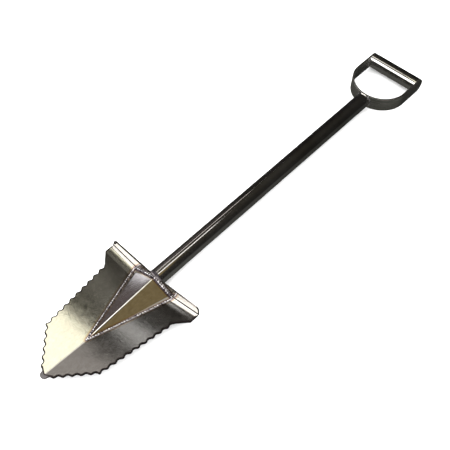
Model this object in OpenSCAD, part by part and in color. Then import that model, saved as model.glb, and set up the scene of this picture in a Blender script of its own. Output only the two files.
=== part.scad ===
// Detecting shovel: a welded stainless digging spade with a serrated V-folded blade,
// a step flange, a gusset over the shaft joint and a D-shaped handle.
// +Y runs from the tip to the handle, +X across the blade, +Z out of the blade's front.

/* [Blade] */
// Length of the blade from the step flange to the tip
blade_len = 229; // [180:1:290]
// Half width across the ears, under the step flange
ear_half_w = 94.5; // [76:0.5:115]
// Length of the straight side of each ear
ear_len = 16.5; // [13:0.5:21]
// Half width at the neck, where the serration starts
neck_half_w = 78; // [65:0.5:94]
// Distance of the neck below the step flange
neck_drop = 33; // [27:0.5:40]
// Half width at the shoulder, the lowest point of the side edges
shoulder_half_w = 60; // [50:0.5:72]
// Distance of the shoulder below the step flange
shoulder_drop = 169.5; // [140:0.5:176]
// Width of the blunt nose at the tip
nose_w = 10; // [7:0.5:12]
// How far the nose stands out between the two tip edges
nose_rise = 1.8; // [1:0.1:2.5]
// Thickness of the blade plate
plate_t = 3; // [2.4:0.1:3.6]
// Rise of each wing from the centre fold, in degrees
wing_slope = 10; // [8:0.5:12]
// Forward tilt of the blade against the shaft, in degrees
blade_lift = 4; // [3:0.5:5]
// Length of the bevel ground on the tip
tip_bevel_len = 5; // [3.5:0.5:8]
// Depth of the bevel at the nose
tip_bevel_depth = 1.6; // [1:0.1:2]

/* [Serration] */
// Teeth along each tip edge
tip_teeth = 6; // [4:1:8]
// Teeth along each side edge
side_teeth = 10; // [7:1:13]
// Depth of the teeth
tooth_depth = 3; // [2:0.1:4]

/* [Step flange] */
// Depth of the flange at the centre
flange_depth_mid = 22; // [18:0.5:27]
// Depth of the flange at its outer ends
flange_depth_end = 14.5; // [12:0.5:18]
// Inner radius of the bend
bend_r = 2; // [1.5:0.1:2.6]
// Radius of the outer front corners
flange_corner_r = 4; // [2:0.5:6]

/* [Gusset] */
// Length of the gusset along the centre fold
gusset_len = 142; // [115:1:165]
// Half width of the gusset at the flange
gusset_half_w = 42; // [34:0.5:52]
// Height of its ridge over the centre fold at the flange
gusset_h = 22.5; // [18:0.5:27]
// Thickness of the gusset plate
gusset_t = 2.5; // [2:0.1:3]
// Clearance between the gusset's end and the flange's bend, filled by the weld
gusset_clear = 0.2; // [0.1:0.1:1]

/* [Shaft] */
// Outer diameter of the shaft tube
tube_d = 28.6; // [23.8:0.1:34.4]
// Wall of the shaft and grip tubes
tube_wall = 1.5; // [1.2:0.1:2.5]
// Length of the shaft from the flange to the handle
shaft_len = 555; // [400:1:700]
// Gap between the shaft's underside and the centre fold
seat_gap = 0.2; // [0:0.1:1]

/* [Handle] */
// Inner radius of the handle's round end
loop_r = 52; // [43:0.5:63]
// Length of the handle's straight arms, up to the grip's axis
arm_len = 48; // [39:0.5:58]
// Thickness of the handle strap
strap_t = 3; // [2.4:0.1:4]

/* [Welds] */
// Radius of the beads along the gusset
bead_r = 2; // [1.6:0.1:2.4]
// Radius of the bead at the gusset's tip
tip_bead_r = 3.4; // [2.8:0.1:4]
// Leg of the beads around the shaft's ends
ring_leg = 2.4; // [1.8:0.1:3]
// How far the handle bead, dressed at the back, still stands proud there
dressed_proud = 0.4; // [0.2:0.1:0.8]
// Leg of the beads at the grip's ends
grip_leg = 1.5; // [1:0.1:2]
// Angle that each grip bead covers, centred on the side towards the shaft
grip_bead_angle = 120; // [90:5:125]

/* [Hidden] */
$fn = 72;

STEEL = [0.62, 0.61, 0.58];
POLISHED = [0.32, 0.31, 0.30];
WELD = [0.55, 0.52, 0.56];

// Points per tooth of the serration and per rounded corner
tooth_steps = 8;
corner_steps = 6;

tube_r = tube_d / 2;
loop_r_out = loop_r + strap_t;
// Centre of the handle's round end, the grip's axis, and the far end of the handle
loop_y = shaft_len + loop_r_out;
grip_y = loop_y + arm_len;
top_y = grip_y + tube_r;
// The centre fold's front edge lies this far below the shaft's axis
fold_drop = tube_r + seat_gap;
// Height of the plate's section in the plane of the fold
fold_t = plate_t / cos(wing_slope);
// Lowest and furthest points of the blade: the fold's back at the bend, and the nose
low_z = bend_r * sin(blade_lift) - fold_t * cos(blade_lift) - fold_drop;
tip_y = -blade_len * cos(blade_lift) - fold_t * sin(blade_lift);
// Larger than any piece, for the blocks that trim them
big = 4 * blade_len;

// Corners of the gusset's right face in the blade's frame: tip, ridge end and foot
gusset_gap = bend_r + gusset_clear;
gusset_tip = [0, -gusset_len, 0];
gusset_ridge = [0, -gusset_gap, gusset_h];
gusset_foot = [gusset_half_w, -gusset_gap, gusset_half_w * tan(wing_slope)];
gusset_normal = cross(gusset_foot - gusset_tip, gusset_ridge - gusset_tip);

// Puts the origin under the middle of the whole tool, on the surface that it lies on
module place() { translate([0, -(top_y + tip_y) / 2, -low_z]) children(); }

// The blade's frame: Y along the centre fold, the flange's near face at y = 0
module in_blade() {
    translate([0, 0, -fold_drop]) rotate([-blade_lift, 0, 0]) children();
}

// A wing's frame: its front face is z = 0
module on_wing() { rotate([0, -wing_slope, 0]) children(); }

module mirrored(side) {
    if (side < 0) mirror([1, 0, 0]) children();
    else children();
}

// Half the space, on the right of the centre fold
module right_half() { translate([0, -big, -big]) cube([big, 2 * big, 2 * big]); }

// Half the space, from y on towards the handle
module beyond(y) { translate([-big, y, -big]) cube([2 * big, big, 2 * big]); }

// The space under the plane through point with that normal, down to the given depth
module under_plane(point, normal, depth = big) {
    translate(point)
        rotate([0, acos(normal.z / norm(normal)), atan2(normal.y, normal.x)])
        translate([-big, -big, -depth]) cube([2 * big, 2 * big, depth]);
}

// A point of the blade's plan, laid out flat on the wing
function on_flat(p) = [p.x / cos(wing_slope), p.y];

// Points of a waved edge from a to b, with its crests on the line and its valleys to the left
function waved_edge(a, b, teeth) =
    let (step = (b - a) / (teeth * tooth_steps), inward = [a.y - b.y, b.x - a.x] / norm(b - a))
    [for (i = [0 : teeth * tooth_steps])
        a + step * i + inward * tooth_depth * (1 - cos(360 * i / tooth_steps)) / 2];

function arc_points(centre, r, from, to) =
    [for (i = [0 : corner_steps])
        let (a = from + (to - from) * i / corner_steps) centre + r * [cos(a), sin(a)]];

module wing_outline() {
    nose = [nose_w / 2, nose_rise - blade_len];
    shoulder = [shoulder_half_w, -shoulder_drop];
    neck = [neck_half_w, -neck_drop];
    edge = concat(
        [[0, -blade_len], [nose_w / 4, -blade_len + nose_rise / 6]],
        waved_edge(nose, shoulder, tip_teeth),
        waved_edge(shoulder, neck, side_teeth),
        [[ear_half_w, -ear_len], [ear_half_w, -bend_r]]);
    flat = [for (p = edge) on_flat(p)];
    polygon(concat(flat, [[-plate_t, -bend_r], [-plate_t, -blade_len]]));
}

module wing_plate() { translate([0, 0, -plate_t]) linear_extrude(plate_t) wing_outline(); }

// The quarter bend between the wing and the flange
module wing_bend() {
    translate([-plate_t, -bend_r, bend_r]) rotate([90, 0, 90])
        linear_extrude(ear_half_w / cos(wing_slope) + plate_t) intersection() {
            difference() {
                circle(bend_r + plate_t);
                circle(bend_r);
            }
            translate([0, -bend_r - plate_t]) square(bend_r + plate_t);
        }
}

module flange_outline() {
    end_x = ear_half_w / cos(wing_slope);
    fall = (flange_depth_mid - flange_depth_end) / end_x;
    corner = [end_x - flange_corner_r, flange_depth_end - flange_corner_r];
    polygon(concat([[0, bend_r], [end_x, bend_r]],
        arc_points(corner, flange_corner_r, 0, 90 - atan(fall)),
        [[0, flange_depth_mid]]));
}

module flange_plate() {
    translate([0, plate_t, 0]) rotate([90, 0, 0]) linear_extrude(plate_t) flange_outline();
}

module blade_half() {
    intersection() {
        on_wing() {
            wing_plate();
            wing_bend();
            flange_plate();
        }
        right_half();
    }
}

// Ground away from the front of the nose
module tip_bevel() {
    translate([-nose_w, -blade_len, -tip_bevel_depth])
        rotate([atan(tip_bevel_depth / tip_bevel_len), 0, 0])
        translate([0, -nose_w, 0]) cube([2 * nose_w, 3 * nose_w, nose_w]);
}

module blade() {
    color(STEEL) place() in_blade() difference() {
        for (side = [-1, 1]) mirrored(side) blade_half();
        tip_bevel();
    }
}

// The space under the right wing's front face
module behind_wing() { on_wing() under_plane([0, 0, 0], [0, 0, 1]); }

// The space under the gusset's right face, down to the given depth
module under_gusset(depth = big) { under_plane(gusset_tip, gusset_normal, depth); }

module gusset_half() {
    difference() {
        intersection() {
            under_gusset(gusset_t);
            translate(gusset_tip * 2)
                cube([2 * gusset_half_w, 2 * gusset_len - gusset_gap, 2 * gusset_h]);
        }
        behind_wing();
    }
}

module gusset() {
    color(STEEL) place() in_blade() for (side = [-1, 1]) mirrored(side) gusset_half();
}

// Everything on the tip's side of the flange's far face, moved on by shift
module flange_side(shift = 0) { in_blade() mirror([0, 1, 0]) beyond(-plate_t - shift); }

// A solid rod along the shaft's axis
module along_shaft(r) {
    rotate([-90, 0, 0]) translate([0, 0, -tube_r]) cylinder(h = loop_y + tube_r, r = r);
}

// A solid post across the handle's round end
module loop_post(r) { translate([0, loop_y, -tube_d]) cylinder(h = 2 * tube_d, r = r); }

module shaft() {
    color(POLISHED) place() difference() {
        along_shaft(tube_r);
        along_shaft(tube_r - tube_wall);
        loop_post(loop_r_out);
        flange_side();
    }
}

module loop_outline(r, extra = 0) {
    translate([0, loop_y]) circle(r);
    translate([-r, loop_y]) square([2 * r, arm_len + tube_r + extra]);
}

// The arms' ends are rounded about the grip's axis
module arm_end_limit() {
    translate([-loop_r_out, 0, -tube_r]) cube([2 * loop_r_out, grip_y, tube_d]);
    translate([-loop_r_out, grip_y, 0]) rotate([0, 90, 0]) cylinder(h = 2 * loop_r_out, r = tube_r);
}

module handle_strap() {
    color(POLISHED) place() intersection() {
        translate([0, 0, -tube_r]) linear_extrude(tube_d) difference() {
            loop_outline(loop_r_out);
            loop_outline(loop_r, 1);
        }
        arm_end_limit();
    }
}

module grip() {
    color(POLISHED) place() translate([-loop_r, grip_y, 0]) rotate([0, 90, 0]) difference() {
        cylinder(h = 2 * loop_r, r = tube_r);
        translate([0, 0, -1]) cylinder(h = 2 * loop_r + 2, r = tube_r - tube_wall);
    }
}

// A straight round bead from p to q
module bead(p, q, r) {
    v = q - p;
    translate(p) rotate([0, acos(v.z / norm(v)), atan2(v.y, v.x)]) cylinder(h = norm(v), r = r);
}

module tip_ball() { translate(gusset_tip) sphere(tip_bead_r); }

// The bead along the gusset's foot, from its tip to the flange's bend
module gusset_weld(side) {
    color(WELD) place() in_blade() mirrored(side) difference() {
        intersection() {
            bead(gusset_tip, gusset_foot, bead_r);
            right_half();
        }
        under_gusset();
        behind_wing();
        beyond(-gusset_gap);
        tip_ball();
    }
}

module gusset_weld_left() { gusset_weld(-1); }

module gusset_weld_right() { gusset_weld(1); }

// The ball of weld over the gusset's tip
module gusset_weld_tip() {
    color(WELD) place() in_blade() for (side = [-1, 1]) mirrored(side) difference() {
        intersection() {
            tip_ball();
            right_half();
        }
        under_gusset();
        behind_wing();
    }
}

// The bead that fills the gap between the gusset's upper edge and the flange
module flange_weld(side) {
    back = [0, gusset_gap / 2, 0];
    color(WELD) place() in_blade() mirrored(side) difference() {
        intersection() {
            bead(gusset_foot + back, gusset_ridge + back, bead_r);
            right_half();
        }
        difference() {
            under_gusset();
            beyond(-gusset_gap);
        }
        beyond(0);
        on_wing() intersection() {
            beyond(-bend_r);
            under_plane([0, 0, bend_r], [0, 0, 1]);
        }
        behind_wing();
        bead(gusset_tip, gusset_foot, bead_r);
    }
}

module flange_weld_left() { flange_weld(-1); }

module flange_weld_right() { flange_weld(1); }

// The space above the flange's front edge at the centre, let down by drop
module over_flange(drop = 0) {
    in_blade() translate([-big, -big, flange_depth_mid - drop]) cube([2 * big, 2 * big, big]);
}

// The bead around the shaft on the flange, and the weld that closes the tube's mouth over it
module shaft_weld() {
    color(WELD) place() {
        difference() {
            intersection() {
                along_shaft(tube_r + ring_leg);
                flange_side(ring_leg);
            }
            along_shaft(tube_r);
            flange_side();
            over_flange();
        }
        difference() {
            intersection() {
                along_shaft(tube_r - tube_wall);
                flange_side(ring_leg);
                over_flange(ring_leg);
            }
            flange_side();
        }
    }
}

// The bead that follows the shaft's coped end around the strap, dressed nearly flat at the
// back, so that the tool lies on the strap's edge
module handle_weld() {
    color(WELD) place() difference() {
        intersection() {
            along_shaft(tube_r + ring_leg);
            loop_post(loop_r_out + ring_leg);
        }
        along_shaft(tube_r);
        loop_post(loop_r_out);
        under_plane([0, 0, -tube_r - dressed_proud], [0, 0, 1]);
    }
}

module grip_weld(side) {
    color(WELD) place() mirrored(side) translate([loop_r, grip_y, 0]) rotate([0, -90, 0])
        rotate_extrude(start = 270 - grip_bead_angle / 2, angle = grip_bead_angle)
        translate([tube_r, 0]) polygon([[0, 0], [grip_leg, 0], [0, grip_leg]]);
}

module grip_weld_left() { grip_weld(-1); }

module grip_weld_right() { grip_weld(1); }

blade();
gusset();
shaft();
handle_strap();
grip();
gusset_weld_left();
gusset_weld_right();
gusset_weld_tip();
flange_weld_left();
flange_weld_right();
shaft_weld();
handle_weld();
grip_weld_left();
grip_weld_right();
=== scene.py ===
"""A stainless digging shovel with a serrated blade, a tube shaft and a D handle, lying face up.

Metres, in the row frame: Y runs from the blade's nose to the handle, Z is up from the floor.
"""
import math
import random

import bmesh
import bpy
from mathutils import Matrix, Vector


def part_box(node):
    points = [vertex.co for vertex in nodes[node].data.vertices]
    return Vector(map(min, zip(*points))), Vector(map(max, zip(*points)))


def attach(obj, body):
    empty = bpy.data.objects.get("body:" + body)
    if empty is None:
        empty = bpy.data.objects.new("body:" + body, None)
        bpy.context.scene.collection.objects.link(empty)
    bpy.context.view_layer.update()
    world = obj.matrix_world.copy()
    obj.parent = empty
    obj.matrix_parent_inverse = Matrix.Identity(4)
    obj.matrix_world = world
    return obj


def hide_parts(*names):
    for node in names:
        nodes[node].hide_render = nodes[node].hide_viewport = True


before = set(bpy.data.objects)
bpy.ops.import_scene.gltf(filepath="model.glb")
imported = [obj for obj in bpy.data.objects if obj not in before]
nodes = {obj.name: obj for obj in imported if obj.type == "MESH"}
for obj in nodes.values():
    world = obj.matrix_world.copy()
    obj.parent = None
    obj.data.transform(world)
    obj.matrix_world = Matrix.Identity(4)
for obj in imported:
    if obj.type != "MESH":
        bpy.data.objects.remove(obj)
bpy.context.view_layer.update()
MM = 0.001


def put_in_scene(name, data):
    """Puts a new object that holds data in the scene."""
    made = bpy.data.objects.new(name, data)
    bpy.context.scene.collection.objects.link(made)
    return made


# ---- camera ----

AIM = Vector((0.0086, -0.0648, 0.0174))
CAMERA_DISTANCE = 1.3287
CAMERA_AZIMUTH = math.radians(39.74)
CAMERA_ELEVATION = math.radians(53.45)
CAMERA_ROLL = math.radians(3.03)
LENS_MM = 64.16
SENSOR_MM = 36


def make_camera():
    back = Vector((math.sin(CAMERA_AZIMUTH) * math.cos(CAMERA_ELEVATION),
                   -math.cos(CAMERA_AZIMUTH) * math.cos(CAMERA_ELEVATION),
                   math.sin(CAMERA_ELEVATION)))
    data = bpy.data.cameras.new("camera")
    data.lens = LENS_MM
    data.sensor_width = SENSOR_MM
    data.clip_start, data.clip_end = 0.01, 50
    camera = put_in_scene("camera", data)
    turn = (-back).to_track_quat("-Z", "Y").to_matrix() @ Matrix.Rotation(CAMERA_ROLL, 3, "Z")
    camera.matrix_world = Matrix.Translation(AIM + back * CAMERA_DISTANCE) @ turn.to_4x4()
    bpy.context.scene.camera = camera


# ---- material helpers ----

def set_stops(ramp, stops):
    """Gives a colour ramp node its stops, each a position and a colour."""
    elements = ramp.color_ramp.elements
    while len(elements) < len(stops):
        elements.new(1)
    for element, (at, colour) in zip(elements, stops):
        element.position = at
        element.color = (*colour, 1)


class Nodes:
    """Short ways to make and join the nodes of one material."""

    def __init__(self, name):
        self.material = bpy.data.materials.new(name)
        self.material.use_nodes = True
        self.tree = self.material.node_tree
        self.tree.nodes.clear()
        self.out = self.add("ShaderNodeOutputMaterial")
        self.shader = self.add("ShaderNodeBsdfPrincipled")
        self.join(self.shader.outputs[0], self.out.inputs["Surface"])
        self.place = self.add("ShaderNodeTexCoord").outputs["Object"]

    def add(self, kind, **settings):
        made = self.tree.nodes.new(kind)
        for key, value in settings.items():
            setattr(made, key, value)
        return made

    def join(self, a, b):
        self.tree.links.new(a, b)

    def feed(self, socket, value):
        """Gives a socket its value, which is a number or another node's output."""
        if hasattr(value, "links"):
            self.join(value, socket)
        else:
            socket.default_value = value

    def math(self, operation, *values):
        made = self.add("ShaderNodeMath", operation=operation)
        for socket, value in zip(made.inputs, values):
            self.feed(socket, value)
        return made.outputs[0]

    def stretched(self, scale):
        made = self.add("ShaderNodeMapping")
        made.inputs["Scale"].default_value = scale
        self.join(self.place, made.inputs["Vector"])
        return made.outputs[0]

    def noise(self, vector, scale, detail=3, rough=0.5, warp=0):
        made = self.add("ShaderNodeTexNoise")
        self.join(vector, made.inputs["Vector"])
        for key, value in (("Scale", scale), ("Detail", detail), ("Roughness", rough),
                           ("Distortion", warp)):
            made.inputs[key].default_value = value
        return made.outputs["Fac"]

    def ramp(self, value, *stops):
        made = self.add("ShaderNodeValToRGB")
        set_stops(made, stops)
        self.join(value, made.inputs["Fac"])
        return made.outputs["Color"]

    def span(self, value, low, high, from_low=0, from_high=1):
        made = self.add("ShaderNodeMapRange")
        made.inputs["From Min"].default_value = from_low
        made.inputs["From Max"].default_value = from_high
        made.inputs["To Min"].default_value = low
        made.inputs["To Max"].default_value = high
        self.feed(made.inputs["Value"], value)
        return made.outputs[0]

    def multiply(self, a, b):
        """The product of two colours."""
        made = self.add("ShaderNodeMix", data_type="RGBA", blend_type="MULTIPLY")
        made.inputs[0].default_value = 1
        self.join(a, made.inputs[6])
        self.join(b, made.inputs[7])
        return made.outputs[2]

    def bump(self, height, distance, strength, normal=None):
        made = self.add("ShaderNodeBump")
        made.inputs["Distance"].default_value = distance
        made.inputs["Strength"].default_value = strength
        self.join(height, made.inputs["Height"])
        if normal:
            self.join(normal, made.inputs["Normal"])
        return made.outputs[0]

    def steel(self, colour, rough, normal):
        """Joins a metal's colour, roughness and surface, and gives the finished material."""
        for key, value in (("Base Color", colour), ("Roughness", rough), ("Normal", normal)):
            self.join(value, self.shader.inputs[key])
        self.shader.inputs["Metallic"].default_value = 1
        return self.material


def near_line(n, start, end, reach):
    """1 on the line from start to end, falling to 0 at reach from it."""

    def vector(operation, *values):
        made = n.add("ShaderNodeVectorMath", operation=operation)
        for socket, value in zip(made.inputs, values):
            n.feed(socket, value)
        return made

    length = (end - start).length
    line = (end - start) / length
    away = vector("SUBTRACT", n.place, start).outputs[0]
    along = n.math("MINIMUM", n.math("MAXIMUM", vector("DOT_PRODUCT", away, line)
                                     .outputs["Value"], 0), length)
    foot = n.add("ShaderNodeVectorMath", operation="SCALE")
    foot.inputs[0].default_value = line
    n.join(along, foot.inputs["Scale"])
    gap = vector("LENGTH", vector("SUBTRACT", away, foot.outputs[0]).outputs[0])
    return n.span(gap.outputs["Value"], 1, 0, 0, reach)


# How far from a bead the steel is tinted
HEAT_REACH = 6 * MM


def heat_tint(n, colour, near):
    """Colours the steel beside a weld: straw, then brown and violet close to the bead."""
    wander = n.math("MULTIPLY", n.span(n.noise(n.place, 160, 2), 0.7, 1.25), near)
    tint = n.ramp(wander, (0.0, (1, 1, 1)), (0.35, (0.95, 0.86, 0.70)), (0.6, (0.62, 0.46, 0.44)),
                  (0.85, (0.40, 0.36, 0.46)))
    return n.multiply(colour, tint)


def sheet_steel(name, weld_lines):
    """Rolled stainless sheet: satin, mottled, faintly streaked along the shovel, not quite flat
    and tinted by heat beside the welds."""
    n = Nodes(name)
    grain = n.noise(n.stretched((700, 90, 700)), 1, 4, 0.6)
    mottle = n.noise(n.place, 120, 5, 0.65, 0.6)
    clouds = n.noise(n.place, 22, 3, 0.5, 0.4)
    waves = n.noise(n.place, 10, 1, 0.4, 0.2)
    tone = n.math("ADD", n.span(grain, 0, 0.4), n.span(mottle, 0, 0.6))
    colour = n.ramp(tone, (0.25, (0.47, 0.45, 0.42)), (0.75, (0.68, 0.665, 0.64)))
    near = 0
    for start, end in weld_lines:
        near = n.math("MAXIMUM", near, near_line(n, start, end, HEAT_REACH))
    colour = heat_tint(n, colour, near)
    rough = n.math("ADD", n.span(mottle, 0.03, 0.10), n.span(clouds, 0.02, 0.05))
    wavy = n.bump(waves, 0.8 * MM, 0.5)
    fine = n.bump(mottle, 0.05 * MM, 0.5, wavy)
    return n.steel(colour, rough, n.bump(grain, 0.012 * MM, 0.5, fine))


def polished_steel(name):
    """Polished stainless tube, with faint drawing lines along the shovel and brownish clouds."""
    n = Nodes(name)
    lines = n.noise(n.stretched((1200, 25, 1200)), 1, 3, 0.6)
    clouds = n.noise(n.place, 16, 3, 0.5, 0.3)
    return n.steel(n.ramp(clouds, (0.3, (0.58, 0.56, 0.53)), (0.7, (0.68, 0.67, 0.65))),
                   n.math("ADD", n.span(lines, 0.0, 0.05), n.span(clouds, 0.04, 0.08)),
                   n.bump(lines, 0.01 * MM, 0.5))


def brushed_strap(name):
    """Flat bar brushed along its length, streaked and a little darker than the tube."""
    n = Nodes(name)
    streaks = n.noise(n.stretched((25, 25, 900)), 1, 4, 0.65)
    clouds = n.noise(n.place, 30, 3, 0.5, 0.3)
    tone = n.math("ADD", n.span(streaks, 0, 0.7), n.span(clouds, 0, 0.3))
    return n.steel(n.ramp(tone, (0.35, (0.24, 0.23, 0.20)), (0.65, (0.66, 0.65, 0.62))),
                   n.span(streaks, 0.14, 0.30), n.bump(streaks, 0.03 * MM, 0.6))


def weld_metal(name):
    """Bright, finely pitted weld metal with dark flecks of oxide."""
    n = Nodes(name)
    fine = n.noise(n.place, 900, 3, 0.6)
    tint = n.noise(n.place, 230, 2, 0.5, 0.5)
    colour = n.ramp(tint, (0.36, (0.13, 0.11, 0.12)), (0.47, (0.80, 0.78, 0.82)),
                    (0.75, (0.95, 0.93, 0.88)))
    return n.steel(colour, n.span(fine, 0.10, 0.28), n.bump(fine, 0.05 * MM, 0.6))


def painted_shade_rim_steel(name):
    """The sawn and rounded rim of the sheet, coloured near-black as painted shade, with fine
    strokes across it.
    """
    n = Nodes(name)
    saw = n.noise(n.stretched((1500, 1500, 150)), 1, 3, 0.6)
    return n.steel(n.ramp(saw, (0.3, (0.010, 0.008, 0.008)), (0.75, (0.045, 0.036, 0.034))),
                   n.span(saw, 0.28, 0.45), n.bump(saw, 0.03 * MM, 0.5))


def painted_shade_nose_steel(name):
    """The facet ground on the nose: fine scratches across it, coloured near-black as painted shade.
    """
    n = Nodes(name)
    scratches = n.noise(n.stretched((150, 2500, 2500)), 1, 4, 0.7)
    return n.steel(n.ramp(scratches, (0.3, (0.03, 0.028, 0.028)), (0.75, (0.16, 0.15, 0.15))),
                   n.span(scratches, 0.22, 0.42), n.bump(scratches, 0.05 * MM, 0.6))


def painted_shade_weld(name):
    """Weld metal coloured dark as painted shade, for the shade where the tube meets the flange."""
    n = Nodes(name)
    fine = n.noise(n.place, 500, 3, 0.6)
    colour = n.ramp(fine, (0.3, (0.05, 0.045, 0.05)), (0.6, (0.17, 0.15, 0.17)),
                    (0.8, (0.42, 0.38, 0.40)))
    return n.steel(colour, n.span(fine, 0.2, 0.45), n.bump(fine, 0.06 * MM, 0.5))


# ---- rounding, and the CAD pieces that keep their own shape ----

# Points of the CAD mesh closer than this are one point
SAME_POINT = 0.002 * MM
# Faces that differ by less than this are one flat face
FLAT_ANGLE = math.radians(0.5)
# Edges sharper than this are rounded, in this many steps
SHARP_ANGLE = math.radians(25)
ROUND_STEPS = 3
# Large faces set the shading as far as they can, so that the flats look flat
FLAT_FACE_WEIGHT = 100


def round_corners(piece, width, rim=-1):
    """Rounds the sharp edges, in the material numbered rim or the neighbours' own."""
    bevel = piece.modifiers.new("bevel", "BEVEL")
    bevel.width = width
    bevel.segments = ROUND_STEPS
    bevel.limit_method = "ANGLE"
    bevel.angle_limit = SHARP_ANGLE
    bevel.material = rim
    shading = piece.modifiers.new("shading", "WEIGHTED_NORMAL")
    shading.weight = FLAT_FACE_WEIGHT


def soften(name, width, material):
    """Welds the CAD mesh's seams, clears its triangles off the flats and rounds its edges."""
    piece = nodes[name]
    piece.data.materials.clear()
    piece.data.materials.append(material)
    joined = piece.modifiers.new("joined", "WELD")
    joined.merge_threshold = SAME_POINT
    flat = piece.modifiers.new("flat", "DECIMATE")
    flat.decimate_type = "DISSOLVE"
    flat.angle_limit = FLAT_ANGLE
    round_corners(piece, width)


# ---- the pieces made here in place of CAD nodes ----

def corner(name, key):
    """The point of a CAD node that is furthest by key."""
    return max((v.co.copy() for v in nodes[name].data.vertices), key=key)


tip_point = corner("gusset", lambda p: -p.y)
ridge_point = corner("gusset", lambda p: p.z)
foot_right = corner("gusset", lambda p: p.x)
foot_left = Vector((-foot_right.x, foot_right.y, foot_right.z))
# Where the flat of the blade ends and the bend up into the flange begins
bend_line = ridge_point.y - 1 * MM


def add_mesh(mesh, stands_for):
    """Puts a mesh in the scene as a piece that stands for a CAD node."""
    mesh.shade_smooth()
    piece = put_in_scene(mesh.name, mesh)
    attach(piece, "root")
    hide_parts(stands_for)
    return piece


def add_piece(name, verts, faces, material, stands_for):
    mesh = bpy.data.meshes.new(name)
    mesh.from_pydata(verts, [], faces)
    mesh.materials.append(material)
    return add_mesh(mesh, stands_for)


def grid_faces(rows, columns, closed=False):
    """Faces between rows of points, each row a closed ring where closed."""
    wide = columns if closed else columns - 1
    return [(r * columns + c, r * columns + (c + 1) % columns,
             (r + 1) * columns + (c + 1) % columns, (r + 1) * columns + c)
            for r in range(rows - 1) for c in range(wide)]


def last_to_first(rows, columns):
    """Faces that join the last ring of points to the first."""
    last = (rows - 1) * columns
    return [(last + c, last + (c + 1) % columns, (c + 1) % columns, c) for c in range(columns)]


def end_caps(rows, columns):
    """A face over the first ring of points and one over the last."""
    last = (rows - 1) * columns
    return [tuple(reversed(range(columns))), tuple(range(last, last + columns))]


# The centre fold's rounding, and its steps
FOLD_ROUNDING = 2.0 * MM
FOLD_STEPS = 6
# The cut rim round the teeth, coloured near-black as painted shade: its width, how far its
# edge drops, and how far short of the bend it stops
RIM_WIDTH = 1.9 * MM
RIM_DROP = 0.3 * MM
RIM_STOP = 3 * MM
# The wings' curl: how far it stops short of the bend, its length, its rise, its number of
# strips, and the height up the flange at which it has died out
CURL_STOP = 2 * MM
CURL_REACH = 15 * MM
CURL_RISE = 0.7 * MM
CURL_STRIPS = 12
FLANGE_HEIGHT = 12 * MM
WING_SLOPE = math.tan(math.radians(10))
BLADE_CORNER = 0.5 * MM
# The fold line's edges lie this near the middle and are at least this long
FOLD_NEAR = 0.05 * MM
FOLD_LENGTH = 50 * MM
# A wing's flat is larger than this
WING_AREA = 100 * MM * MM
# Parts of a unit normal that tell faces apart: nearly level, nearly upright to the side,
# steeper than half way, and tilted forward like the nose's facet
LEVEL, SIDEWAYS, STEEP, NOSE_TILT = 0.9, 0.8, 0.5, -0.12
# Numbers of the blade's materials
SHEET_PART, RIM_PART, NOSE_PART = range(3)


def curl_up(bm):
    """Curves the wings up towards the bend, as sheet does when it is folded on a soft die."""
    start = bend_line - CURL_STOP
    root_height = foot_right.z - foot_right.x * WING_SLOPE
    for step in range(CURL_STRIPS):
        at = Vector((0, start - CURL_REACH * step / CURL_STRIPS, 0))
        everything = bm.verts[:] + bm.edges[:] + bm.faces[:]
        bmesh.ops.bisect_plane(bm, geom=everything, dist=SAME_POINT / 2, plane_co=at,
                               plane_no=(0, 1, 0))
    for v in bm.verts:
        away = min(1, max(0, (start - v.co.y) / CURL_REACH))
        lift = CURL_RISE * (1 - away) ** 2
        if v.co.y > start:
            above = v.co.z - root_height - abs(v.co.x) * WING_SLOPE
            lift *= min(1, max(0, 1 - above / FLANGE_HEIGHT))
        v.co.z += lift


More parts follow.
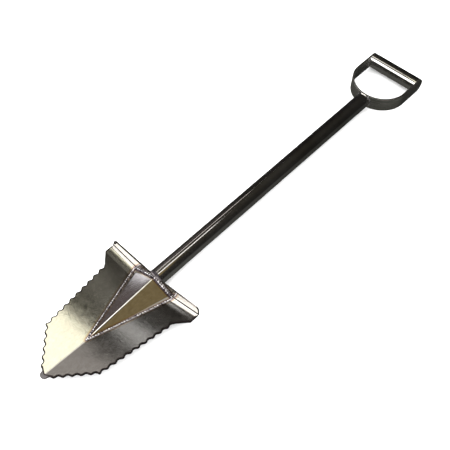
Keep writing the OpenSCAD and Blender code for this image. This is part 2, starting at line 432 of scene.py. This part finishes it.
def make_blade(sheet, rim, ground):
    """The CAD blade with its centre fold rounded, a cut rim round the saw teeth and a ground nose,
    both coloured near-black as painted shade, wings that curl up to the bend, and softened corners."""
    bm = bmesh.new()
    bm.from_mesh(nodes["blade"].data)
    bmesh.ops.remove_doubles(bm, verts=bm.verts, dist=SAME_POINT)
    bmesh.ops.dissolve_limit(bm, angle_limit=FLAT_ANGLE, verts=bm.verts, edges=bm.edges)
    bm.normal_update()
    for face in bm.faces:
        middle = face.calc_center_median()
        # The sheet's side faces take the rim material, near-black as painted shade
        if abs(face.normal.x) > SIDEWAYS or (abs(face.normal.z) < STEEP
                                             and middle.y < bend_line):
            face.material_index = RIM_PART
        # The nose facet takes the near-black nose material, painted shade
        elif face.normal.y < NOSE_TILT and middle.y < tip_point.y and face.normal.z > STEEP:
            face.material_index = NOSE_PART
    fold = [e for e in bm.edges if all(abs(v.co.x) < FOLD_NEAR for v in e.verts)
            and len(e.link_faces) == 2 and all(f.normal.z > LEVEL for f in e.link_faces)
            and e.calc_length() > FOLD_LENGTH]
    bmesh.ops.bevel(bm, geom=fold, offset=FOLD_ROUNDING, segments=FOLD_STEPS, profile=0.5,
                    affect="EDGES", clamp_overlap=True)
    bm.normal_update()
    tops = [f for f in bm.faces if f.normal.z > LEVEL and f.material_index == SHEET_PART
            and f.calc_center_median().y < bend_line and f.calc_area() > WING_AREA]
    made = bmesh.ops.inset_region(bm, faces=tops, thickness=RIM_WIDTH, use_even_offset=True,
                                  use_boundary=True)
    inside = {v for f in tops for v in f.verts}
    rim_verts = set()
    # The inset ring short of the bend takes the rim material, near-black as painted shade
    for face in made["faces"]:
        if face.calc_center_median().y < bend_line - RIM_STOP:
            face.material_index = RIM_PART
            rim_verts |= {v for v in face.verts if v not in inside}
    for v in rim_verts:
        if v.co.y < bend_line - RIM_STOP:
            v.co.z -= RIM_DROP
    curl_up(bm)
    mesh = bpy.data.meshes.new("blade_sheet")
    bm.to_mesh(mesh)
    bm.free()
    for material in (sheet, rim, ground):
        mesh.materials.append(material)
    # The rounded corners take the rim material too, near-black as painted shade
    round_corners(add_mesh(mesh, "blade"), BLADE_CORNER, rim=RIM_PART)


# How far the rounded ridge reaches into each face, and the most of a face that it may take
RIDGE_REACH = 1.7 * MM
RIDGE_SHARE = 0.3
GUSSET_SHEET = 2.4 * MM
# Where along the gusset, from its tip, the plate starts
GUSSET_START = 0.01


def make_gusset(material):
    """The bent triangular plate over the fold: two flat faces and a rounded ridge."""
    rows, side_steps, bend_steps = 40, 5, 10
    verts = []
    for i in range(rows + 1):
        t = GUSSET_START + (1 - GUSSET_START) * i / rows
        apex, left, right = (tip_point.lerp(p, t) for p in (ridge_point, foot_left, foot_right))
        reach = min(RIDGE_REACH, RIDGE_SHARE * (left - apex).length)
        a = apex + (left - apex).normalized() * reach
        b = apex + (right - apex).normalized() * reach
        verts += [left.lerp(a, k / side_steps) for k in range(side_steps)]
        for k in range(bend_steps + 1):
            u = k / bend_steps
            verts.append(a * (1 - u) ** 2 + apex * 2 * u * (1 - u) + b * u ** 2)
        verts += [b.lerp(right, (k + 1) / side_steps) for k in range(side_steps)]
    columns = 2 * side_steps + bend_steps + 1
    piece = add_piece("gusset_plate", verts, grid_faces(rows + 1, columns), material,
                      "gusset")
    shell = piece.modifiers.new("sheet", "SOLIDIFY")
    shell.thickness = GUSSET_SHEET
    shell.offset = -1


# A bead's ripples: points around the bead, rings in each ripple, how far a ripple leans back
# over the next, the share of the radius that never dips, and how much ripples differ in
# height and in place
BEAD_POINTS = 18
RINGS_PER_RIPPLE = 8
RIPPLE_LEAN = 0.45
RIPPLE_FLOOR = 0.64
HEIGHT_SPREAD = 0.10
PLACE_SPREAD = 0.12
# Length of a bead's round end, in radii, and the least height of its very end
END_LENGTH = 1.2
END_FLOOR = 0.02


def bead(name, path, radius, pitch, seed, material, stands_for, closed=False,
         out=lambda centre: Vector((0, 0, 1))):
    """A weld bead along path: overlapping ripples like a row of leaning coins, each a little
    different, with round ends unless the path is closed."""
    draw = random.Random(seed)
    lengths = [0.0]
    for a, b in zip(path, path[1:]):
        lengths.append(lengths[-1] + (b - a).length)
    total = lengths[-1]
    coins = max(2, round(total / pitch))
    sizes = [1 + draw.uniform(-HEIGHT_SPREAD, HEIGHT_SPREAD) for _ in range(coins + 2)]
    shifts = [draw.uniform(-PLACE_SPREAD, PLACE_SPREAD) for _ in range(coins + 2)]
    stations = coins * RINGS_PER_RIPPLE + (0 if closed else 1)
    verts = []
    for i in range(stations):
        s = total * i / (coins * RINGS_PER_RIPPLE)
        k = max(j for j in range(len(path) - 1) if lengths[j] <= s + 1e-9)
        span = lengths[k + 1] - lengths[k]
        centre = path[k].lerp(path[k + 1], (s - lengths[k]) / span)
        before, after = path[max(0, k - 1)], path[min(len(path) - 1, k + 2)]
        if closed and k == 0:
            before = path[-2]
        if closed and k == len(path) - 2:
            after = path[1]
        along = ((centre - before).normalized() + (after - centre).normalized()).normalized()
        side = along.cross(out(centre)).normalized()
        top = side.cross(along)
        end = 1.0
        if not closed:
            left = min(s, total - s) / (END_LENGTH * radius)
            end = math.sqrt(max(END_FLOOR, 1 - max(0, 1 - left) ** 2))
        for j in range(BEAD_POINTS):
            turn = 2 * math.pi * j / BEAD_POINTS
            lean = RIPPLE_LEAN * (1 - math.cos(turn))
            at = s / total * coins - lean
            coin = math.floor(at) % coins if closed else min(max(math.floor(at), 0), coins)
            part = min(1.0, max(0.0, at - math.floor(at) + shifts[coin]))
            swell = math.sqrt(max(0, 1 - part ** 2)) * sizes[coin]
            r = radius * end * (RIPPLE_FLOOR + (1 - RIPPLE_FLOOR) * swell)
            verts.append(centre + top * (math.cos(turn) * r) + side * (math.sin(turn) * r))
    faces = grid_faces(stations, BEAD_POINTS, closed=True)
    faces += (last_to_first if closed else end_caps)(stations, BEAD_POINTS)
    add_piece(name, verts, faces, material, stands_for)


TUBE_WALL = 1.5 * MM
# How far the flange's far side, on which the shaft stands, leans from upright
BLADE_LIFT = math.radians(4)
# A tube's rims are sharp, because its faces meet there at more than this
RIM_ANGLE = math.radians(40)


def shaft_sizes():
    """The shaft's radius, its axis's height, and where its axis meets the flange."""
    low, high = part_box("shaft")
    radius = (high.x - low.x) / 2
    return radius, (high.z + low.z) / 2, low.y + radius * math.tan(BLADE_LIFT)


def loop_sizes():
    """The outer radius of the strap's round end, and where along the shovel its centre is."""
    low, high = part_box("handle_strap")
    loop = (high.x - low.x) / 2
    return loop, low.y + loop


def tube_between(name, node, material, start_of, end_of, point_of):
    """A hollow round tube with smooth walls: start_of and end_of give where it begins and ends
    along its axis at each angle, and point_of turns (angle, radius, along) into a place."""
    around, steps = 128, 40
    low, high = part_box(node)
    radius = (high.z - low.z) / 2
    verts = []
    for r, ways in ((radius, 1), (radius - TUBE_WALL, -1)):
        for i in range(steps + 1):
            share = (i if ways > 0 else steps - i) / steps
            for j in range(around):
                turn = 2 * math.pi * j / around
                a, b = start_of(turn, r), end_of(turn, r)
                verts.append(point_of(turn, r, a + (b - a) * share))
    rows = 2 * (steps + 1)
    faces = grid_faces(rows, around, closed=True) + last_to_first(rows, around)
    piece = add_piece(name, verts, faces, material, node)
    split = piece.modifiers.new("rims", "EDGE_SPLIT")
    split.split_angle = RIM_ANGLE


def make_shaft(material):
    """The shaft, cut to the flange's lean at one end and coped to the strap at the other."""
    _, axis_z, seat = shaft_sizes()
    loop, loop_y = loop_sizes()
    tube_between(
        "shaft_tube", "shaft", material,
        lambda turn, r: seat + r * math.cos(turn) * math.tan(BLADE_LIFT),
        lambda turn, r: loop_y - math.sqrt(loop ** 2 - (r * math.sin(turn)) ** 2),
        lambda turn, r, y: Vector((r * math.sin(turn), y, axis_z + r * math.cos(turn))))


def make_grip(material):
    low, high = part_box("grip")
    middle = (low + high) / 2
    tube_between(
        "grip_tube", "grip", material, lambda turn, r: low.x, lambda turn, r: high.x,
        lambda turn, r, x: Vector((x, middle.y - r * math.sin(turn),
                                   middle.z + r * math.cos(turn))))


STRAP_THICKNESS = 3 * MM
EDGE_ROUNDING = 0.5 * MM
# Rings of points along each rounded end, each straight arm and the round end of the strap
TAIL_STEPS, ARM_STEPS, LOOP_STEPS = 24, 20, 96
# The last ring stays this share of the way out, so that it isn't a single point
TAIL_SHARE = 0.9995
# Steps of each rounded edge, and of each flat side
EDGE_STEPS, SIDE_STEPS = 4, 6


def make_strap(material):
    """The bent flat strap: two straight arms joined by a half circle, its long edges rounded
    and its ends rounded about the grip."""
    low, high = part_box("handle_strap")
    loop, loop_y = loop_sizes()
    middle_r = loop - STRAP_THICKNESS / 2
    half, axis_z = (high.z - low.z) / 2, (high.z + low.z) / 2
    grip_y = high.y - half
    arm = []
    for k in range(TAIL_STEPS + 1):
        arm.append(grip_y + half * TAIL_SHARE * math.cos(math.pi / 2 * k / TAIL_STEPS))
    for k in range(1, ARM_STEPS):
        arm.append(grip_y + (loop_y - grip_y) * k / ARM_STEPS)
    stations = [(math.pi / 2, y) for y in arm]
    for k in range(LOOP_STEPS + 1):
        stations.append((math.pi / 2 - math.pi * k / LOOP_STEPS, loop_y))
    stations += [(-math.pi / 2, y) for y in reversed(arm)]
    thick, verts = STRAP_THICKNESS / 2, []
    for turn, y in stations:
        centre = Vector((middle_r * math.sin(turn), y - middle_r * math.cos(turn), axis_z))
        across = Vector((math.sin(turn), -math.cos(turn), 0))
        past = max(0.0, y - grip_y) if abs(abs(turn) - math.pi / 2) < 1e-6 else 0.0
        wide = math.sqrt(max(1e-9, half ** 2 - past ** 2))
        round_by = min(EDGE_ROUNDING, 0.45 * wide)
        ring = []
        for cx, cz, first in ((1, 1, 0), (-1, 1, 90), (-1, -1, 180), (1, -1, 270)):
            for k in range(EDGE_STEPS + 1):
                a = math.radians(first + 90 / EDGE_STEPS * k)
                ring.append(centre + across * (cx * (thick - round_by) + round_by * math.cos(a))
                            + Vector((0, 0, cz * (wide - round_by) + round_by * math.sin(a))))
            if cx == cz:
                continue
            for k in range(1, SIDE_STEPS):
                ring.append(centre + across * (cx * thick)
                            + Vector((0, 0, cz * (wide - round_by) * (1 - 2 * k / SIDE_STEPS))))
        verts += ring
    faces = grid_faces(len(stations), len(ring), closed=True) + end_caps(len(stations), len(ring))
    add_piece("handle_band", verts, faces, material, "handle_strap")


# Rounding of the edges of the beads that keep their CAD shape
CAD_BEAD_CORNER = 0.2 * MM
# Radii of the beads: on the gusset, at its tip, round the shaft's two ends, and the crown
BEAD_RADIUS = 1.9 * MM
BALL_RADIUS = 3.8 * MM
SHAFT_BEAD_RADIUS = 1.1 * MM
HANDLE_BEAD_RADIUS = 1.5 * MM
CROWN_RADIUS = 3.1 * MM
# Length of one ripple, and of one lump of the crown
RIPPLE = 4.4 * MM
CROWN_LUMP = 24 * MM
# The ball over the gusset's tip: how far it reaches before the tip and past it
BALL_FRONT = 1.8 * MM
BALL_BACK = 2.4 * MM
# How far behind the gusset's upper edges the flange beads run
FLANGE_GAP = 1.1 * MM
# How far the ring at the flange lies off it, and the saddle ring off the strap
FLANGE_RING_GAP = 0.5 * MM
SADDLE_GAP = 0.4 * MM
# The crown: its half length, and how far it is off the saddle and below the tube's top
CROWN_HALF = 8 * MM
CROWN_OFF = 0.4 * MM
CROWN_SINK = 1.4 * MM
# The weld in the shaft's mouth: its dome, the roughness of the dome, and its depth
MOUTH_DOME = 1.0 * MM
MOUTH_ROUGHNESS = 0.25 * MM
MOUTH_DEPTH = 2 * MM
RING_POINTS = 96


def make_gusset_welds(material):
    """The beads along the gusset's feet and upper edges, and the ball over its tip."""
    back = Vector((0, FLANGE_GAP, 0))
    for side, foot in (("left", foot_left), ("right", foot_right)):
        bead(f"gusset_bead_{side}", [tip_point.lerp(foot, GUSSET_START), foot], BEAD_RADIUS,
             RIPPLE, len(side), material, f"gusset_weld_{side}")
        bead(f"flange_bead_{side}", [foot + back, ridge_point + back], BEAD_RADIUS, RIPPLE,
             7 + len(side), material, f"flange_weld_{side}",
             out=lambda centre: Vector((0, -1, 1)))
    bead("gusset_bead_tip", [tip_point - Vector((0, BALL_FRONT, 0)), tip_point,
                             tip_point + Vector((0, BALL_BACK, 0))],
         BALL_RADIUS, 2 * RIPPLE, 3, material, "gusset_weld_tip")


def ring_path(point_at):
    """A closed ring of points, point_at giving each one from its angle."""
    return [point_at(2 * math.pi * k / RING_POINTS) for k in range(RING_POINTS + 1)]


def make_shaft_weld(material):
    """The rippled ring where the tube stands on the flange's far side, and the domed plug of
    weld that closes the tube's mouth, both coloured dark as painted shade."""
    radius, axis_z, seat = shaft_sizes()

    def at(turn):
        z = radius * math.cos(turn)
        return Vector((radius * math.sin(turn), seat + z * math.tan(BLADE_LIFT) + FLANGE_RING_GAP,
                       axis_z + z))

    def outward(centre):
        return Vector((centre.x, radius, centre.z - axis_z))

    bead("shaft_bead", ring_path(at), SHAFT_BEAD_RADIUS, RIPPLE, 5, material, "shaft_weld",
         closed=True, out=outward)
    rings, around = 12, 48
    verts = [Vector((0, seat - MOUTH_DOME, axis_z))]
    for i in range(1, rings + 1):
        share = i / rings
        for j in range(around):
            turn = 2 * math.pi * j / around
            z = radius * share * math.cos(turn)
            rough = MOUTH_ROUGHNESS * math.sin(5 * turn + 9 * share) * 4 * share * (1 - share)
            verts.append(Vector((radius * share * math.sin(turn),
                                 seat + z * math.tan(BLADE_LIFT)
                                 - MOUTH_DOME * math.sqrt(max(0, 1 - share ** 2)) + rough,
                                 axis_z + z)))
    back = len(verts)
    verts.append(Vector((0, seat + MOUTH_DEPTH, axis_z)))
    faces = [(0, 1 + (j + 1) % around, 1 + j) for j in range(around)]
    for i in range(rings - 1):
        a, b = 1 + i * around, 1 + (i + 1) * around
        faces += [(a + j, a + (j + 1) % around, b + (j + 1) % around, b + j)
                  for j in range(around)]
    rim = 1 + (rings - 1) * around
    faces += [(rim + j, rim + (j + 1) % around, back) for j in range(around)]
    add_piece("shaft_mouth_bead", verts, faces, material, "shaft_weld")


def make_handle_welds(material, crown_material):
    """The saddle ring between the tube and the strap, and the smooth crown over its top."""
    radius, axis_z, _ = shaft_sizes()
    loop, loop_y = loop_sizes()

    def saddle(turn):
        x = radius * math.sin(turn)
        return Vector((x, loop_y - math.sqrt(loop ** 2 - x ** 2) - SADDLE_GAP,
                       axis_z + radius * math.cos(turn)))

    def outward(centre):
        return Vector((centre.x, -radius, centre.z - axis_z))

    bead("handle_bead", ring_path(saddle), HANDLE_BEAD_RADIUS, RIPPLE, 6, material,
         "handle_weld", closed=True, out=outward)
    crown = [saddle(0) + Vector((side * CROWN_HALF, -CROWN_OFF, -CROWN_SINK))
             for side in (-1, 0, 1)]
    bead("handle_crown", crown, CROWN_RADIUS, CROWN_LUMP, 8, crown_material, "handle_weld")


# ---- stage ----

# Height of the softboxes above the floor
ROOM_HEIGHT = 2.0


def softbox(name, centre, size, turn, radiance, colour=(1, 1, 1)):
    """A rectangle of light that shines straight down, radiance being how bright it looks in
    polished steel."""
    data = bpy.data.lights.new(name, "AREA")
    data.shape = "RECTANGLE"
    data.size, data.size_y = size
    data.energy = radiance * math.pi * size[0] * size[1]
    data.color = colour
    lamp = put_in_scene(name, data)
    lamp.location = (*centre, ROOM_HEIGHT)
    lamp.rotation_euler = (0, 0, math.radians(turn))
    lamp.visible_camera = False


def make_lights():
    """The softboxes that the steel mirrors in the photo, and cards for its darker tones."""
    softbox("front", (-0.95, -1.35), (2.1, 1.7), 0, 3.4, (1, 0.99, 0.99))
    softbox("ridge_light", (-1.9, -0.02), (2.05, 0.5), 0, 3.2)
    softbox("front_far", (-0.95, -2.5), (2.1, 0.6), 0, 0.35)
    softbox("high", (-0.27, 0.245), (0.64, 0.46), 5, 1.95, (1, 0.98, 0.78))
    softbox("high_tail", (0.02, 0.68), (0.26, 0.46), 0, 2.1, (1, 0.98, 0.96))
    softbox("between", (-1.05, 0.38), (0.85, 0.40), 0, 1.3, (1, 0.97, 0.88))
    softbox("left_haze", (-0.37, 0.665), (0.30, 0.13), 0, 0.13, (1, 0.98, 0.85))
    softbox("side_panel", (-1.95, 0.525), (0.95, 0.42), 0, 0.40, (1, 0.94, 0.90))
    softbox("side_patch", (-1.97, 0.945), (0.42, 0.10), -8, 0.75)
    softbox("tube_strip", (-1.36, 1.03), (0.30, 0.70), 0, 1.1, (1, 0.92, 0.90))
    softbox("warm_card", (0.80, 0.15), (1.0, 1.1), 0, 0.2, (1, 0.72, 0.28))
    softbox("lilac_strip", (-4.05, 0.95), (1.1, 0.22), -5, 2.0, (0.94, 0.93, 1))
    softbox("mauve_side", (-4.6, 1.85), (2.6, 0.7), 0, 0.17, (1, 0.84, 0.84))
    softbox("fill_right", (4.85, -2.95), (7.0, 6.5), 0, 0.55)
    softbox("fill_front", (0.20, -3.7), (0.9, 4.0), 0, 0.55)
    softbox("fill_left", (-5.55, -2.5), (5.9, 3.8), 0, 0.5)
    softbox("mauve_card", (-3.9, 0.28), (1.7, 1.06), 0, 0.10, (1, 0.78, 0.80))


# The room's colour by direction, from straight down (0) through level (0.5) to straight up (1)
ROOM_TONES = ((0.0, (0.10, 0.10, 0.09)), (0.40, (0.10, 0.10, 0.094)),
              (0.52, (0.012, 0.011, 0.009)), (0.80, (0.020, 0.017, 0.013)),
              (0.94, (0.04, 0.035, 0.025)))
# The room is dimmer towards the handle: where the dimming begins and ends, and its two shares
ROOM_DIMMING = (("From Min", 0.35), ("From Max", 0.65), ("To Min", 1), ("To Max", 0.35))
PAPER_LIGHT = 2.4


def make_world():
    """White paper light for the floor and the backdrop, and a dim room for the steel to reflect."""
    world = bpy.data.worlds.new("studio")
    bpy.context.scene.world = world
    world.use_nodes = True
    tree = world.node_tree
    tree.nodes.clear()
    out = tree.nodes.new("ShaderNodeOutputWorld")
    coords = tree.nodes.new("ShaderNodeTexCoord")
    split = tree.nodes.new("ShaderNodeSeparateXYZ")
    ramp = tree.nodes.new("ShaderNodeValToRGB")
    room = tree.nodes.new("ShaderNodeBackground")
    paper = tree.nodes.new("ShaderNodeBackground")
    path = tree.nodes.new("ShaderNodeLightPath")
    mix = tree.nodes.new("ShaderNodeMixShader")
    height = tree.nodes.new("ShaderNodeMapRange")
    height.inputs["From Min"].default_value = -1
    tree.links.new(coords.outputs["Generated"], split.inputs[0])
    tree.links.new(split.outputs["Z"], height.inputs["Value"])
    tree.links.new(height.outputs[0], ramp.inputs[0])
    set_stops(ramp, ROOM_TONES)
    shade = tree.nodes.new("ShaderNodeMapRange")
    for key, value in ROOM_DIMMING:
        shade.inputs[key].default_value = value
    tree.links.new(split.outputs["Y"], shade.inputs["Value"])
    tree.links.new(shade.outputs[0], room.inputs["Strength"])
    tree.links.new(ramp.outputs[0], room.inputs["Color"])
    paper.inputs["Color"].default_value = (PAPER_LIGHT, PAPER_LIGHT, PAPER_LIGHT, 1)
    tree.links.new(path.outputs["Is Glossy Ray"], mix.inputs[0])
    tree.links.new(paper.outputs[0], mix.inputs[1])
    tree.links.new(room.outputs[0], mix.inputs[2])
    tree.links.new(mix.outputs[0], out.inputs["Surface"])


FLOOR_HALF = 12


def make_floor():
    """A pale paper floor, which the steel doesn't reflect."""
    mesh = bpy.data.meshes.new("floor")
    half = FLOOR_HALF
    mesh.from_pydata([(-half, -half, 0), (half, -half, 0), (half, half, 0), (-half, half, 0)],
                     [], [(0, 1, 2, 3)])
    floor = put_in_scene("floor", mesh)
    n = Nodes("floor_paper")
    n.shader.inputs["Base Color"].default_value = (0.9, 0.9, 0.9, 1)
    n.shader.inputs["Roughness"].default_value = 0.9
    n.shader.inputs["Specular IOR Level"].default_value = 0.1
    mesh.materials.append(n.material)
    floor.visible_glossy = False


# ---- making ----

make_camera()
make_world()
make_floor()
make_lights()
bpy.context.scene.view_settings.view_transform = "Standard"

WELD_LINES = [(tip_point, foot_left), (tip_point, foot_right),
              (foot_left, ridge_point), (foot_right, ridge_point)]
TUBE = polished_steel("polished_steel")
WELD = weld_metal("weld_metal")

make_blade(sheet_steel("sheet_steel", WELD_LINES[:2]), painted_shade_rim_steel("rim_painted_shade"),
           painted_shade_nose_steel("painted_shade_nose_steel"))
make_gusset(sheet_steel("gusset_steel", WELD_LINES))
make_shaft(TUBE)
make_grip(TUBE)
make_strap(brushed_strap("strap_steel"))
for name in ("grip_weld_left", "grip_weld_right"):
    soften(name, CAD_BEAD_CORNER, WELD)
make_gusset_welds(WELD)
# The shaft's ring and mouth welds are coloured dark as painted shade
make_shaft_weld(painted_shade_weld("painted_shade_weld"))
make_handle_welds(WELD, TUBE)
